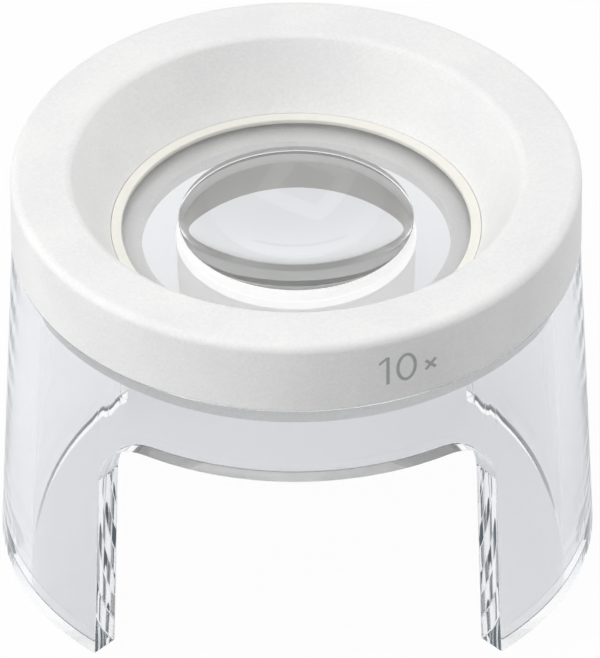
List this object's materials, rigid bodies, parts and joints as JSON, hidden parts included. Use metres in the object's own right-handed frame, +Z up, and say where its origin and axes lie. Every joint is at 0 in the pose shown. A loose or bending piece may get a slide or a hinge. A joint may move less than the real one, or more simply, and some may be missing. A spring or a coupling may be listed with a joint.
{
  "type": "stand magnifier",
  "caption": "Fixed-focus desk magnifier: a clear flared stand with front and back arch openings, a white hood with a funnel, and a thick clear lens over the page.",
  "frame": {"origin": "on the page under the middle of the lens, at the centre of the stand's foot circle", "axes": "+Z up along the lens axis, -Y towards the front arch opening, +X to the right"},
  "size_m": [0.06, 0.058, 0.0443],
  "materials": {
    "clear_acrylic": "clear polished acrylic",
    "white_plastic": "fine satin moulding texture",
    "lens_acrylic": "clear polished acrylic",
    "cream_plastic": "smooth satin"
  },
  "bodies": {
    "root": {"clear_stand": "clear_acrylic", "hood_ring": "white_plastic", "lens": "lens_acrylic", "lens_retaining_ring": "cream_plastic"}
  },
  "joints": []
}
